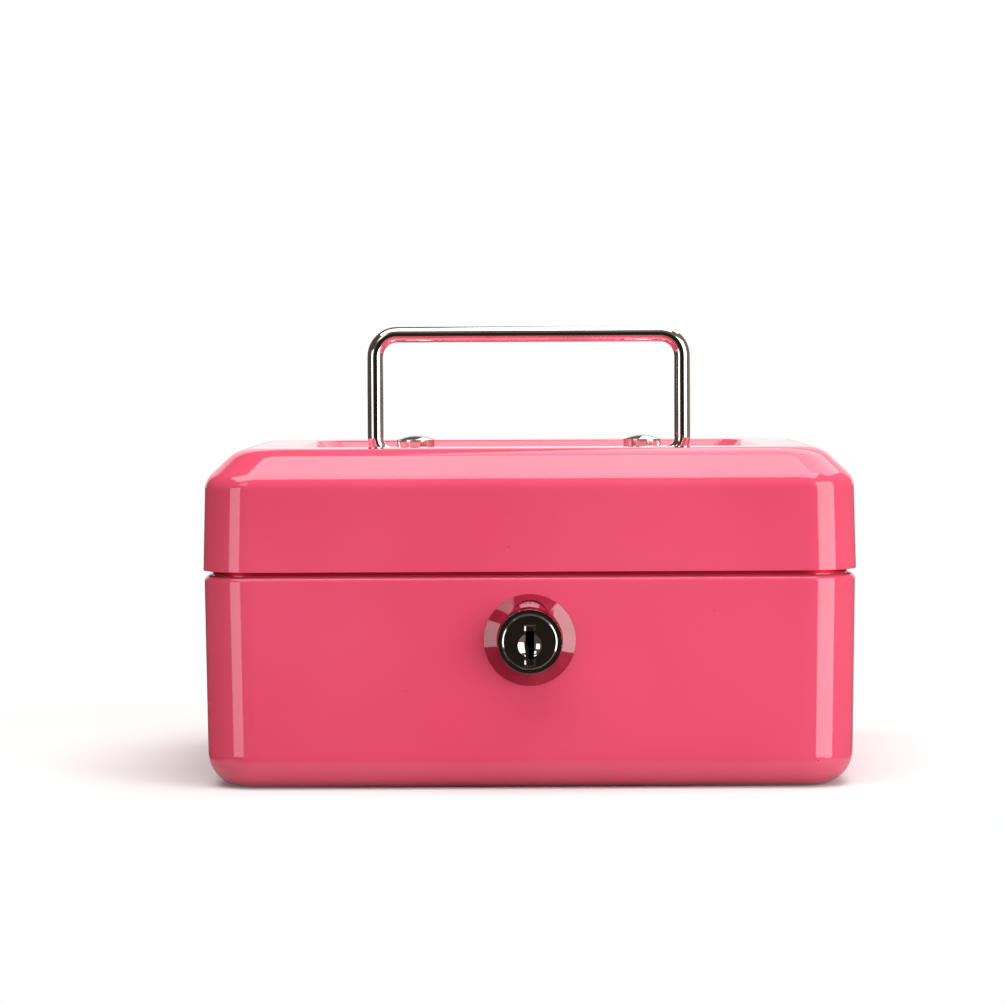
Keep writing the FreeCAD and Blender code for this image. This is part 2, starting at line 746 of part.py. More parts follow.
def make_lock_plug():
    body = new_body("lock_plug")
    add_rod(
        body, "AdditiveCylinder", "plug_face_radius", "face_y", "face_y + plug_face_depth", "lock_height",
    )
    add_rod(
        body, "AdditiveCylinder", "plug_radius", "face_y + plug_face_depth", "plug_end", "lock_height",
    )
    add_block(
        body, "AdditiveBox",
        ("-cam_square / 2", "cam_square / 2"), ("plug_end - sheet_metal", "cam_end - fit_gap"),
        ("lock_height - cam_square / 2", "lock_height + cam_square / 2"),
    )
    add_block(
        body, "SubtractiveBox",
        ("-keyway_width / 2", "keyway_width / 2"), ("face_y - overcut", "face_y + keyway_depth"),
        ("lock_height + keyway_top - keyway_height", "lock_height + keyway_top"),
    )
    add(
        body, "SubtractiveSphere",
        (0, "face_y + dimple_depth - dimple_ball", "lock_height - keyway_drop"),
        Radius="dimple_ball",
    )
    add_block(
        body, "SubtractiveBox",
        ("-crown_width / 2", "crown_width / 2"), ("face_y - overcut", "face_y + end_cut_depth"),
        ("lock_height + keyway_top - fit_gap", "lock_height + keyway_top + crown_height"),
    )
    add_block(
        body, "SubtractiveBox",
        ("-foot_width / 2", "foot_width / 2"), ("face_y - overcut", "face_y + end_cut_depth"),
        ("lock_height + keyway_top - keyway_height - foot_height",
         "lock_height + keyway_top - keyway_height + fit_gap"),
    )
    last = add_rod(
        body, "SubtractiveCylinder", "screw_radius + fit_gap",
        "washer_end - screw_length - fit_gap", "washer_end", "lock_height",
    )
    for index in STACKS:
        last = add(
            body, "SubtractiveCylinder", (0, stack_y(index), "lock_height"),
            Radius="stack_radius + stack_clearance", Height="plug_radius + overcut",
        )
    edge = dress(
        body, "Chamfer", last, ring_at("face_y", "plug_face_radius"),
        Size="plug_edge_depth", Size2="plug_edge_width",
    )
    edge.ChamferType = "Two distances"
    return body


def make_pins(label, low, high):
    pins = []
    for index in STACKS:
        at = (0, stack_y(index), f"lock_height + {low}")
        pins.append(plain_cylinder("Pin", "stack_radius", f"{high} - {low}", at))
    return group(label, pins)


def make_pin_springs():
    springs = []
    for index in STACKS:
        at = (0, stack_y(index), "lock_height + driver_top + spring_wire / 2 + fit_gap")
        coil = doc.addObject("Part::Helix", "SpringCoil")
        bind(coil, Radius="spring_radius", Height="spring_height", Pitch="spring_height / spring_turns")
        place(coil, at)
        wire = doc.addObject("Part::Circle", "SpringWire")
        bind(wire, Radius="spring_wire / 2")
        place(wire, ("spring_radius", at[1], at[2]), TO_FRONT)
        spring = doc.addObject("Part::Sweep", "PinSpring")
        spring.Sections = [wire]
        spring.Spine = (coil, ["Edge1"])
        spring.Solid = True
        spring.Frenet = True
        springs.append(spring)
    return group("pin_springs", springs)


def make_lock_cam():
    """The cam's arm points up when the lock is open, and swings to the right over the catch."""
    body = new_body("lock_cam")
    add_rod(body, "AdditiveCylinder", "cam_hub_radius", "plug_end", "cam_end", "lock_height")
    add_block(
        body, "AdditiveBox",
        ("-cam_width / 2", "cam_width / 2"), ("plug_end", "cam_end"),
        ("lock_height", "lock_height + cam_length"),
    )
    add_block(
        body, "SubtractiveBox",
        ("-cam_square / 2 - cam_fit", "cam_square / 2 + cam_fit"),
        ("plug_end - overcut", "cam_end + overcut"),
        ("lock_height - cam_square / 2 - cam_fit", "lock_height + cam_square / 2 + cam_fit"),
    )
    return body


def make_cam_washer():
    body = new_body("cam_washer")
    add_rod(body, "AdditiveCylinder", "cam_washer_radius", "cam_end", "washer_end", "lock_height")
    add_rod(
        body, "SubtractiveCylinder", "screw_radius + cam_fit",
        "cam_end - overcut", "washer_end + overcut", "lock_height",
    )
    return body


def make_cam_screw():
    body = new_body("cam_screw")
    head_end = "washer_end + screw_head_height"
    add_rod(body, "AdditiveCylinder", "screw_head_radius", "washer_end", head_end, "lock_height")
    add_rod(
        body, "AdditiveCylinder", "screw_radius", "washer_end - screw_length", "washer_end", "lock_height",
    )
    add_block(
        body, "SubtractiveBox",
        ("-screw_head_radius - overcut", "screw_head_radius + overcut"),
        ("washer_end + screw_head_height / 2", f"{head_end} + overcut"),
        ("lock_height - screw_slot / 2", "lock_height + screw_slot / 2"),
    )
    return body


def make_lid_catch():
    """A strip welded inside the lid's front, down to a ledge that the cam turns over."""
    body = new_body("lid_catch")
    tongue = ("plug_end", "cam_end")
    add_block(
        body, "AdditiveBox",
        ("catch_near", "catch_far"), ("catch_front", "catch_front + cam_thickness"),
        ("catch_low", "catch_low + catch_plate"),
    )
    add_block(
        body, "AdditiveBox",
        ("catch_near", "catch_far"), ("catch_front", "cam_end"),
        ("catch_low", "catch_low + cam_thickness"),
    )
    add_block(
        body, "AdditiveBox",
        ("catch_inner", "catch_far"), tongue,
        ("ledge_top - catch_ledge", "catch_low + cam_thickness"),
    )
    add_block(
        body, "AdditiveBox",
        ("catch_near", "catch_far"), tongue,
        ("ledge_top - catch_ledge", "ledge_top"),
    )
    return body


def make_coin_tray():
    """A moulded tray that hangs on the lip, notched for the lock, with cups in two rows."""
    body = new_body("coin_tray")
    add_block(
        body, "AdditiveBox",
        ("-tray_half_width", "tray_half_width"), ("-tray_half_depth", "tray_half_depth"),
        ("tray_bottom", "lip_top"),
    )
    add_block(
        body, "AdditiveBox",
        ("-flange_half_width", "flange_half_width"), ("-flange_half_depth", "flange_half_depth"),
        ("lip_top", "tray_top"),
    )
    add_block(
        body, "SubtractiveBox",
        ("-notch_half", "notch_half"), ("-flange_half_depth - overcut", "notch_back"),
        ("tray_bottom - overcut", "tray_top + overcut"),
    )
    front, back = "tray_wall - tray_half_depth", "tray_half_depth - tray_wall"
    row_front, row_back = "tray_row - tray_wall / 2", "tray_row + tray_wall / 2"
    side = "tray_half_width - tray_wall"
    beside = "notch_half + tray_wall"
    cups = [
        ((f"-({side})", f"-({beside})"), (front, row_front)),
        ((beside, side), (front, row_front)),
        (("-notch_half", "notch_half"), ("notch_back + tray_wall", row_front)),
    ]
    cup_width = f"(2 * ({side}) - (tray_columns - 1) * tray_wall) / tray_columns"
    for column in range(int(SIZES["tray_columns"])):
        start = f"{column} * ({cup_width} + tray_wall) - ({side})"
        cups.append(((start, f"{start} + {cup_width}"), (row_back, back)))
    for x, y in cups:
        cup = add_block(body, "SubtractiveBox", x, y, ("cup_floor", "tray_top + overcut"))
    cup_floor = value("cup_floor")
    cup_corners = dress(
        body, "Fillet", cup,
        lambda edge: rises(edge) and abs(edge.BoundBox.ZMin - cup_floor) < NEAR,
        Radius="tray_corner - tray_wall",
    )
    cup_floors = dress(body, "Fillet", cup_corners, level_at("cup_floor"), Radius="cup_scoop")
    flange_corners = dress(
        body, "Fillet", cup_floors, corner_at("flange_half_width", "flange_half_depth"),
        Radius="corner_radius - lip_step - tray_flange_inset",
    )
    dress(
        body, "Fillet", flange_corners, corner_at("tray_half_width", "tray_half_depth"),
        Radius="tray_corner",
    )
    grip = add_block(
        body, "AdditiveBox",
        ("-grip_width / 2", "grip_width / 2"),
        ("tray_row - grip_thickness / 2", "tray_row + grip_thickness / 2"),
        ("cup_floor", "tray_top + grip_height"),
    )
    above = value("tray_top + grip_height") - NEAR
    dress(
        body, "Fillet", grip,
        lambda edge: edge.BoundBox.ZMin > above and edge.BoundBox.XLength < NEAR,
        Radius="grip_round",
    )
    return body


parts = [
    make_base_shell(),
    make_lid_shell(),
    make_hinge_leaf("base_hinge_leaf", "base_leaf_y", 0, above_pin=False),
    make_hinge_leaf("lid_hinge_leaf", "lid_leaf_y", 1, above_pin=True),
    make_hinge_pin(),
    make_handle(),
    make_post("left_handle_post", -1),
    make_post("right_handle_post", 1),
    make_post_washers(),
    make_lock_ring(),
    make_lock_barrel(),
    make_lock_clip(),
    make_lock_plug(),
    make_pins("key_pins", "key_pin_low", "key_pin_top"),
    make_pins("driver_pins", "driver_low", "driver_top"),
    make_pin_springs(),
    make_lock_cam(),
    make_cam_washer(),
    make_cam_screw(),
    make_lid_catch(),
    make_coin_tray(),
]
doc.recompute()

for thing in doc.Objects:
    if "Invalid" in thing.State or "Error" in thing.State:
        raise RuntimeError(f"{thing.Label} did not build")
os.makedirs("parts", exist_ok=True)
for part in parts:
    if part.Shape.isNull() or not part.Shape.isValid():
        raise RuntimeError(f"{part.Label} has no valid shape")
    part.Shape.exportStep(f"parts/{part.Label}.step")
    print(part.Label, len(part.Shape.Solids), "solid", round(part.Shape.Volume, 1), "mm3")
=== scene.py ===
import json
import math
import bmesh
import bpy
from mathutils import Matrix, Vector


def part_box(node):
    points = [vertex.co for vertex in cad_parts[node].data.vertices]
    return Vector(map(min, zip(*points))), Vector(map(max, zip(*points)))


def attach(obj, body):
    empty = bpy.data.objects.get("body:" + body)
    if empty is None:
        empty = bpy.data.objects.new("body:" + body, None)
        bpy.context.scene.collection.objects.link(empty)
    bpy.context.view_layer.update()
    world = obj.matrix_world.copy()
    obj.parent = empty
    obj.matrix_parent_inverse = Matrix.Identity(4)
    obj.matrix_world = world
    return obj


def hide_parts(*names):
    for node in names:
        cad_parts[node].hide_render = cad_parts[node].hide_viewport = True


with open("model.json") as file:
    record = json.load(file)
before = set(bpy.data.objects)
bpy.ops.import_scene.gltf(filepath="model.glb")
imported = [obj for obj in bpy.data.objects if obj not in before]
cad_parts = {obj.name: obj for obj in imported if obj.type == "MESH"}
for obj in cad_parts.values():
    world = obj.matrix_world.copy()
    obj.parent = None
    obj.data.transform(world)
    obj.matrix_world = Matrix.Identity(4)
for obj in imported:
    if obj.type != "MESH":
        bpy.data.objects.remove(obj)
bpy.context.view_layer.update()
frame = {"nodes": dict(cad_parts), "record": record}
nodes = frame["nodes"]
record = frame["record"]
scene = bpy.context.scene


class Wire:
    # a node socket that sums, scales and feeds other nodes
    def __init__(self, tree, socket=None):
        self.tree = tree
        self.socket = socket

    def node(self, kind, settings, inputs, out=0):
        made = self.tree.nodes.new("ShaderNode" + kind)
        for name, setting in settings.items():
            setattr(made, name, setting)
        for key, given in inputs.items():
            if isinstance(given, Wire):
                self.tree.links.new(given.socket, made.inputs[key])
            else:
                made.inputs[key].default_value = given
        return Wire(self.tree, made.outputs[out]) if made.outputs else None

    def math(self, operation, first, second):
        return self.node("Math", {"operation": operation}, {0: first, 1: second})

    def __add__(self, other):
        return self.math("ADD", self, other)

    __radd__ = __add__

    def __mul__(self, other):
        return self.math("MULTIPLY", self, other)

    __rmul__ = __mul__

    def __sub__(self, other):
        return self.math("SUBTRACT", self, other)

    def __rsub__(self, other):
        return self.math("SUBTRACT", other, self)

    def size(self):
        return self.math("ABSOLUTE", self, 0.0)

    # 0 below low, 1 above high, smooth between
    def ramp(self, low, high, bottom=0.0, top=1.0):
        return self.node("MapRange", {"interpolation_type": "SMOOTHSTEP"}, {
            "Value": self, "From Min": low, "From Max": high, "To Min": bottom, "To Max": top})

    # one colour where this is 0, the other where it is 1; 6, 7 and 2 are the Mix node's colour sockets
    def mixTo(self, first, second):
        return self.node("Mix", {"data_type": "RGBA"}, {0: self, 6: first, 7: second}, 2)

    def part(self, name):
        return Wire(self.tree, self.socket.node.outputs[name])


def noise(place, scale, detail=2.0, roughness=0.5):
    return place.node("TexNoise", {}, {
        "Vector": place, "Scale": scale, "Detail": detail, "Roughness": roughness})


def bump(height, strength, distance, under=None):
    inputs = {"Strength": strength, "Distance": distance, "Height": height}
    if under:
        inputs["Normal"] = under
    return height.node("Bump", {}, inputs)


def srgb(red, green, blue):
    def linear(level):
        level /= 255
        return level / 12.92 if level <= 0.04045 else ((level + 0.055) / 1.055) ** 2.4
    return (linear(red), linear(green), linear(blue), 1.0)


# a finish's fixed numbers stay on the shader, its look gives the linked ones
def makeMaterial(name, finish, look):
    material = bpy.data.materials.new(name)
    material.use_nodes = True
    tree = material.node_tree
    shader = tree.nodes["Principled BSDF"]
    for socket, number in finish["fixed"].items():
        shader.inputs[socket].default_value = number
    place = Wire(tree).node("TexCoord", {}, {}, "Object")
    for socket, wire in look(place, finish).items():
        tree.links.new(wire.socket, shader.inputs[socket])
    return material


# pink stove enamel on the pressed steel, with a few dust specks, orange peel and faint sags
paint = {
    "fixed": {"IOR": 1.6}, "colour": srgb(231, 80, 110), "clouded": srgb(235, 86, 116),
    "cloud": (18.0,), "tone": (0.35, 0.65), "shine": (90.0,), "gloss": (0.3, 0.7, 0.05, 0.08),
    "speck": srgb(120, 30, 50), "speckScale": 210.0, "speckEdge": (0.0225, 0.045),
    "speckShare": (0.93, 0.94), "speckDepth": 0.8, "speckRough": 0.2,
    "peel": (700.0, 1.0), "peelRelief": (0.01, 0.0002), "sag": (45.0, 1.0), "sagRelief": (0.02, 0.002),
}


def paintLook(place, finish):
    colour = noise(place, *finish["cloud"]).ramp(*finish["tone"]).mixTo(finish["colour"], finish["clouded"])
    cells = place.node("TexVoronoi", {"feature": "F1"}, {"Vector": place, "Scale": finish["speckScale"]})
    lucky = cells.node("SeparateColor", {}, {0: cells.part("Color")})
    specks = (1 - cells.ramp(*finish["speckEdge"])) * lucky.ramp(*finish["speckShare"])
    rough = noise(place, *finish["shine"]).ramp(*finish["gloss"]) + specks * finish["speckRough"]
    sags = bump(noise(place, *finish["sag"]), *finish["sagRelief"])
    return {
        "Base Color": (specks * finish["speckDepth"]).mixTo(colour, finish["speck"]),
        "Roughness": rough,
        "Normal": bump(noise(place, *finish["peel"]), *finish["peelRelief"], sags),
    }


# painted shade: a dark red line in the step under the base's lip, by height, where the narrow gap under the
# lid lies in shade
lipStep = {
    "stepShade": srgb(223, 20, 53), "low": (0.0496, 0.0498), "high": (0.0510, 0.0517),
    "share": 0.9, "rough": 0.5,
}


def baseLook(place, finish):
    look = paintLook(place, finish)
    height = place.node("SeparateXYZ", {}, {0: place}, "Z")
    # painted shade: darker, rougher and metallic in a band just above the shoulder, under the lip
    stepShade = height.ramp(*lipStep["low"]) * (1 - height.ramp(*lipStep["high"])) * lipStep["share"]
    look["Base Color"] = stepShade.mixTo(look["Base Color"], lipStep["stepShade"])
    look["Roughness"] = look["Roughness"] + stepShade * lipStep["rough"]
    look["Metallic"] = stepShade
    return look


# the other finishes cloud from one colour to another, with a fine grain of their own or of the clouds
def mottledLook(place, finish):
    cloud = noise(place, *finish["cloud"])
    grain = noise(place, *finish["grain"]) if "grain" in finish else cloud
    return {
        "Base Color": cloud.ramp(*finish["tone"]).mixTo(finish["colour"], finish["clouded"]),
        "Roughness": cloud.ramp(*finish["gloss"]),
        "Normal": bump(grain, *finish["relief"]),
    }


# deeper enamel on the ring around the lock
ringPaint = {
    "fixed": {"IOR": 1.7}, "colour": srgb(158, 26, 54), "clouded": srgb(168, 34, 62),
    "cloud": (300.0,), "tone": (0.35, 0.65), "gloss": (0.3, 0.7, 0.04, 0.07),
    "grain": (1500.0,), "relief": (0.01, 0.0001),
}

# bright plating on the wire handle and its posts
chrome = {
    "fixed": {"Metallic": 1.0}, "colour": srgb(226, 224, 220), "clouded": srgb(206, 203, 198),
    "cloud": (120.0, 3.0), "tone": (0.4, 0.7), "gloss": (0.3, 0.75, 0.045, 0.10),
    "grain": (2600.0, 2.0), "relief": (0.015, 0.0001),
}

# turned and plated barrel and plug of the lock
nickel = {
    "fixed": {"Metallic": 1.0}, "colour": srgb(214, 209, 205), "clouded": srgb(190, 184, 178),
    "cloud": (260.0, 3.0), "tone": (0.4, 0.7), "gloss": (0.3, 0.75, 0.07, 0.13),
    "grain": (3000.0, 2.0), "relief": (0.02, 0.0001),
}

# zinc plated hinge pin, washers, clip, cam, screw, springs and catch
zinc = {
    "fixed": {"Metallic": 1.0}, "colour": srgb(196, 200, 204), "clouded": srgb(160, 162, 160),
    "cloud": (420.0, 4.0, 0.65), "tone": (0.35, 0.7), "gloss": (0.3, 0.7, 0.28, 0.46),
    "relief": (0.06, 0.0002),
}

# turned brass lock pins
brass = {
    "fixed": {"Metallic": 1.0}, "colour": srgb(205, 168, 96), "clouded": srgb(150, 116, 58),
    "cloud": (900.0, 3.0), "tone": (0.35, 0.7), "gloss": (0.3, 0.7, 0.22, 0.38),
    "relief": (0.05, 0.0001),
}

# black moulded tray
plastic = {
    "fixed": {"IOR": 1.46}, "colour": srgb(38, 38, 40), "clouded": srgb(58, 58, 60),
    "cloud": (30.0, 3.0), "tone": (0.4, 0.75), "gloss": (0.3, 0.7, 0.42, 0.55),
    "grain": (1500.0, 3.0), "relief": (0.12, 0.0002),
}

materials = {
    "pink_paint": makeMaterial("pinkPaint", paint, paintLook),
    "ring_paint": makeMaterial("ringPaint", ringPaint, mottledLook),
    "chrome_plate": makeMaterial("chromePlate", chrome, mottledLook),
    "lock_nickel": makeMaterial("lockNickel", nickel, mottledLook),
    "zinc_steel": makeMaterial("zincSteel", zinc, mottledLook),
    "pin_brass": makeMaterial("pinBrass", brass, mottledLook),
    "tray_plastic": makeMaterial("trayPlastic", plastic, mottledLook),
}
slotOf = {entry["node"]: entry["material_slot"] for entry in record["subparts"]}
bodyOf = {node: body for body, members in record["behaviour"]["bodies"].items() for node in members}


def paintPiece(piece, material):
    piece.data.materials.clear()
    piece.data.materials.append(material)


for node, slot in slotOf.items():
    paintPiece(nodes[node], materials[slot])
paintPiece(nodes["base_shell"], makeMaterial("basePaint", paint, baseLook))
print("materials:", len(materials) + 1)


# a bent profile: straight runs, with an arc of the given radius at each inner point
def roundedPath(points, steps=7):
    path = [Vector(points[0][:2])]
    for before, here, after in zip(points, points[1:], points[2:]):
        corner, radius = Vector(here[:2]), here[2]
        back = (Vector(before[:2]) - corner).normalized()
        ahead = (Vector(after[:2]) - corner).normalized()
        half = back.angle(ahead) / 2
        if radius == 0:
            path.append(corner)
            continue
        middle = corner + (back + ahead).normalized() * radius / math.sin(half)
        first = corner + back * radius / math.tan(half) - middle
        last = corner + ahead * radius / math.tan(half) - middle
        sweep = first.angle_signed(last)
        for step in range(steps + 1):
            path.append(middle + Matrix.Rotation(-sweep * step / steps, 2) @ first)
    path.append(Vector(points[-1][:2]))
    return path


def addPiece(name, mesh):
    mesh.polygons.foreach_set("use_smooth", [True] * len(mesh.polygons))
    piece = bpy.data.objects.new(name, mesh)
    scene.collection.objects.link(piece)
    return piece


def addMesh(name, corners, faces):
    mesh = bpy.data.meshes.new(name)
    mesh.from_pydata(corners, [], faces)
    return addPiece(name, mesh)


def applyModifiers(piece):
    shown = piece.evaluated_get(bpy.context.evaluated_depsgraph_get())
    solid = bpy.data.meshes.new_from_object(shown)
    piece.modifiers.clear()
    piece.data = solid


# how an edge is broken: steps across it, bend that counts as sharp, pull of the flats on the shading
edgeBreak = {"segments": 2, "degrees": 32, "flatWeight": 100}


# break the sharp edges, and keep the flats flat in the shading
def breakEdges(piece, width):
    edges = piece.modifiers.new("edges", "BEVEL")
    edges.width = width
    edges.segments = edgeBreak["segments"]
    edges.limit_method = "ANGLE"
    edges.angle_limit = math.radians(edgeBreak["degrees"])
    flats = piece.modifiers.new("flats", "WEIGHTED_NORMAL")
    flats.weight = edgeBreak["flatWeight"]
    applyModifiers(piece)


# give a piece its finish and its body, and hide the node that it stands for
def dress(piece, node):
    paintPiece(piece, materials[slotOf[node]])
    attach(piece, bodyOf[node])
    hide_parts(node)


# lid: pressed sheet, bevelled all round, with a sunk well and a notch for the hinge
lid = {
    "sheet": 0.0008, "corner": 0.012, "topCorner": 0.0105, "slope": 1.4, "edge": 0.00012,
    "bevel": 0.0072, "lowRound": 0.005, "topRound": 0.0075,
    "wellWidth": 0.109, "wellDepth": 0.073, "wellDrop": 0.005, "wellCorner": 0.006, "wellRound": 0.0015,
    "hingeHalf": 0.05115, "notch": 0.0022, "notchFrom": 0.9,
    "skirt": 0.00022, "skirtFade": (0.25, 0.75), "cornerSteps": 16, "sideParts": 8,
}


def makeLid():
    low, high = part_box("lid_shell")
    slope = math.tan(math.radians(lid["slope"]))
    tall = high.z - low.z
    topInset = slope * tall + lid["bevel"]
    wellX = high.x - lid["wellWidth"] / 2
    wellY = high.y - lid["wellDepth"] / 2
    drop = lid["wellDrop"]
    path = roundedPath([
        (0, low.z, 0),
        (slope * lid["notch"], low.z + lid["notch"], 0),
        (slope * (tall - lid["bevel"]), high.z - lid["bevel"], lid["lowRound"]),
        (topInset, high.z, lid["topRound"]),
        (wellX, high.z, lid["wellRound"]),
        (wellX + drop, high.z - drop, lid["wellRound"]),
        (wellX + 2 * drop, high.z - drop, 0),
    ])
    notchShare = lid["hingeHalf"] / (high.x - lid["corner"])
    shares = [-1 + 2 * step / lid["sideParts"] for step in range(lid["sideParts"] + 1)]
    shares = sorted(shares + [-notchShare, notchShare])
    angles = [math.pi / 2 * (step / lid["cornerSteps"] - 1) for step in range(1, lid["cornerSteps"])]

    # points of one level, all the way round from the front left
    def level(inset, z):
        halfX = high.x - inset
        across = min(max((inset - topInset) / (wellX - topInset), 0), 1)
        halfY = high.y - inset - across * (wellY - wellX)
        bevelShare = min(inset / topInset, 1)
        radius = lid["corner"] + (lid["topCorner"] - lid["corner"]) * bevelShare
        radius += (lid["wellCorner"] - lid["topCorner"]) * across
        coreX, coreY = halfX - radius, halfY - radius
        ring = []
        for turn in range(4):
            runX, runY = (coreX, coreY) if turn % 2 == 0 else (coreY, coreX)
            side = [(share * runX, -runY - radius) for share in shares]
            side += [(runX + radius * math.cos(angle), -runY + radius * math.sin(angle)) for angle in angles]
            spin = Matrix.Rotation(math.pi / 2 * turn, 2)
            ring += [spin @ Vector(point) for point in side]
        return [(x, y, z) for x, y in ring]

    # the skirt hangs a little lower, except towards the hinge
    def hang(y):
        full, none = lid["skirtFade"]
        return lid["skirt"] * min(max((none - y / high.y) / (none - full), 0), 1)

    rings = [level(inset, z) for inset, z in path]
    rings[0] = [(x, y, z - hang(y)) for x, y, z in rings[0]]
    count = len(rings[0])
    corners = [point for ring in rings for point in ring]
    faces = []
    for row in range(len(rings) - 1):
        for step in range(count):
            quad = [row * count + step, row * count + (step + 1) % count]
            quad += [quad[1] + count, quad[0] + count]
            middle = sum((Vector(corners[index]) for index in quad), Vector()) / 4
            rear = middle.y > lid["notchFrom"] * high.y
            notched = row == 0 and rear and abs(middle.x) < lid["hingeHalf"]
            if not notched:
                faces.append(quad)
    faces.append(list(range(len(corners) - count, len(corners))))
    skin = addMesh("lidSkin", corners, faces)
    thicken = skin.modifiers.new("sheet", "SOLIDIFY")
    thicken.thickness = lid["sheet"]
    thicken.offset = -1.0
    thicken.use_even_offset = True
    applyModifiers(skin)
    breakEdges(skin, lid["edge"])
    dress(skin, "lid_shell")
    return len(skin.data.polygons)


print("lid:", makeLid(), "faces")

# lock: turned ring, barrel and plug about one axis
lock = {
    "turns": 144, "edge": 0.00008, "overcut": 0.001,
    "ringLand": 0.00775, "ringCone": 0.0013, "ringBore": 0.00705, "ringSink": 0.0003, "ringBreak": 0.0001,
    "archRadius": 0.0046, "archRise": 0.0047, "archDepth": 0.0002, "archSlope": 33.5,
    "barrelRadius": 0.0069, "plugBore": 0.00506, "seatDepth": 0.00125, "seatGap": 0.00006,
    "chamberRadius": 0.0036, "chamberRise": 0.005, "chamberSetback": 0.0085, "chamberBore": 0.9,
    "plugEdge": (0.00028, 0.0001), "plugBody": 0.005, "faceDepth": 0.0012, "square": 0.005,
    "keyway": (0.002, 0.0065), "keywayDrop": 0.00075, "keywayDepth": 0.020,
    "ward": (0.0007, 0.0030, 0.0010),
    "dimpleRadius": 0.00275, "dimpleDepth": 0.0009, "dimpleSteps": 48, "dimpleTurns": 96,
    "crown": (0.0027, 0.0020, 0.0005), "foot": (0.0027, 0.0018, 0.0001),
    "stampDepth": 0.0006, "stampSlope": 0.00045, "sharp": 12,
    # painted shade deep in the keyway: its dark colour, the depths over which it darkens and the roughness
    # it adds
    "keywayShade": srgb(22, 17, 13), "keywayShadeFrom": (0.0016, 0.0036), "keywayShadeRough": 0.4,
}
lockLow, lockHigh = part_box("lock_plug")
lockZ = (lockLow.z + lockHigh.z) / 2
lockFace = lockLow.y


# solid of revolution from (radius, y) points; points on the axis close its ends
def addLathe(name, profile, axisZ=lockZ, steps=lock["turns"]):
    corners, rows, faces = [], [], []
    for radius, y in profile:
        count = 1 if radius == 0 else steps
        rows.append([len(corners) + step % count for step in range(steps)])
        for step in range(count):
            angle = 2 * math.pi * step / steps
            corners.append((radius * math.sin(angle), y, axisZ + radius * math.cos(angle)))
    for near, far in zip(rows, rows[1:] + rows[:1]):
        for step in range(steps):
            ahead = (step + 1) % steps
            face = list(dict.fromkeys([near[step], far[step], far[ahead], near[ahead]]))
            if len(face) > 2:
                faces.append(face)
    return addMesh(name, corners, faces)


# plain round bar between two depths
def addBar(name, radius, far, near, axisZ=lockZ, steps=lock["turns"]):
    return addLathe(name, [(0, far), (radius, far), (radius, near), (0, near)], axisZ, steps)


# block between the given limits, its rear end smaller by the taper all round
def addBlock(name, x, y, z, taper=0.0):
    corners = []
    for depth, inset in ((y[0], 0.0), (y[1], taper)):
        left, right, low, high = x[0] + inset, x[1] - inset, z[0] + inset, z[1] - inset
        corners += [(left, depth, low), (right, depth, low), (right, depth, high), (left, depth, high)]
    sides = [[step, step + 4, (step + 1) % 4 + 4, (step + 1) % 4] for step in range(4)]
    return addMesh(name, corners, [[0, 1, 2, 3], [7, 6, 5, 4]] + sides)


# join or cut with another solid, which is used up
def combine(piece, operation, other):
    joining = piece.modifiers.new("joining", "BOOLEAN")
    joining.operation = operation
    joining.object = other
    joining.solver = "EXACT"
    applyModifiers(piece)
    bpy.data.objects.remove(other)


# conical ring with an arched recess above the rim
def makeRing():
    low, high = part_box("lock_ring")
    radius, land, back = high.x, low.y, high.y + lock["ringSink"]
    bore = lock["ringBore"]
    piece = addLathe("lockRing", [
        (radius, back), (radius, land + lock["ringCone"]), (lock["ringLand"], land),
        (bore, land), (bore, back)])
    arch = addBar("arch", lock["archRadius"], back, land - lock["overcut"], lockZ + lock["archRise"])
    deep = land + lock["archDepth"]
    fall = (radius - lock["ringLand"]) * math.tan(math.radians(lock["archSlope"]))
    behind = back + lock["overcut"]
    floor = addLathe("archFloor", [
        (0, behind), (radius, behind), (radius, deep + fall), (lock["ringLand"], deep), (0, deep)])
    combine(arch, "DIFFERENCE", floor)
    combine(piece, "DIFFERENCE", arch)
    breakEdges(piece, lock["ringBreak"])
    dress(piece, "lock_ring")


# barrel with its rim, the plug's seat and the pin chamber on top
def makeBarrel():
    low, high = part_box("lock_barrel")
    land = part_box("lock_ring")[0].y
    rim, body, bore = high.x, lock["barrelRadius"], lock["plugBore"]
    seat = lockHigh.x + lock["seatGap"]
    seatY = low.y + lock["seatDepth"]
    piece = addLathe("lockBarrel", [
        (rim, low.y), (rim, land), (body, land), (body, high.y), (bore, high.y), (bore, seatY),
        (seat, seatY), (seat, low.y)][::-1])
    chamberY = low.y + lock["chamberSetback"]
    chamber = addBar("chamber", lock["chamberRadius"], high.y, chamberY, lockZ + lock["chamberRise"])
    hollow = body * lock["chamberBore"]
    hole = addBar("bore", hollow, high.y + lock["overcut"], chamberY - lock["overcut"])
    combine(chamber, "DIFFERENCE", hole)
    combine(piece, "UNION", chamber)
    breakEdges(piece, lock["edge"])
    dress(piece, "lock_barrel")


# the plug, with painted shade darkening it deeper inside the keyway
def plugLook(place, finish):
    look = mottledLook(place, finish)
    depth = place.node("SeparateXYZ", {}, {0: place}, "Y") - lockFace
    keywayShade = depth.ramp(*lock["keywayShadeFrom"])
    look["Base Color"] = keywayShade.mixTo(look["Base Color"], lock["keywayShade"])
    look["Roughness"] = look["Roughness"] + keywayShade * lock["keywayShadeRough"]
    return look


